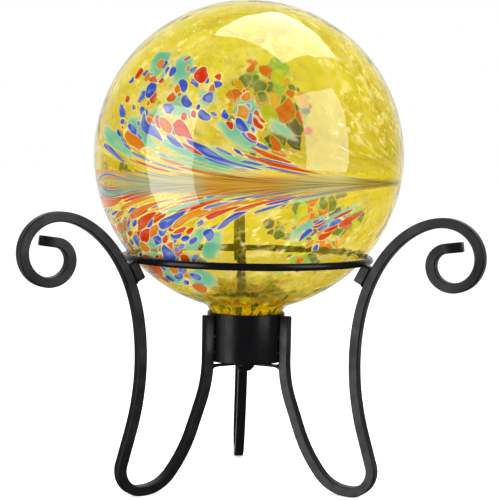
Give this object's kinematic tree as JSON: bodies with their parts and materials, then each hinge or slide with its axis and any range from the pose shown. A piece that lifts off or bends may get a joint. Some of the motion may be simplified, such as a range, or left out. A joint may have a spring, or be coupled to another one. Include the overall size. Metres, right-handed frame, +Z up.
{
  "type": "gazing ball",
  "caption": "Blown-glass garden gazing ball, its neck seated in the socket of a low three-legged iron stand with scroll tops and a steadying ring.",
  "frame": {"origin": "on the floor, under the middle of the whole object's box", "axes": "+Z up through the ball; -Y is the front, with one leg straight back along +Y and the other two at 60 degrees either side of the front; +X to the right seen from the front"},
  "size_m": [0.3544, 0.3298, 0.3983],
  "materials": {
    "art_glass": "clear gloss over mottled yellow with coloured chips, see-through",
    "black_coated_steel": "satin black powder coat"
  },
  "bodies": {
    "root": {"glass_ball": "art_glass", "socket_tube": "black_coated_steel", "support_ring": "black_coated_steel", "leg_left": "black_coated_steel", "leg_right": "black_coated_steel", "leg_rear": "black_coated_steel", "ring_rest_left": "black_coated_steel", "ring_rest_right": "black_coated_steel", "ring_rest_rear": "black_coated_steel", "arm_left": "black_coated_steel", "arm_right": "black_coated_steel", "arm_rear": "black_coated_steel", "centre_boss": "black_coated_steel"}
  },
  "joints": []
}
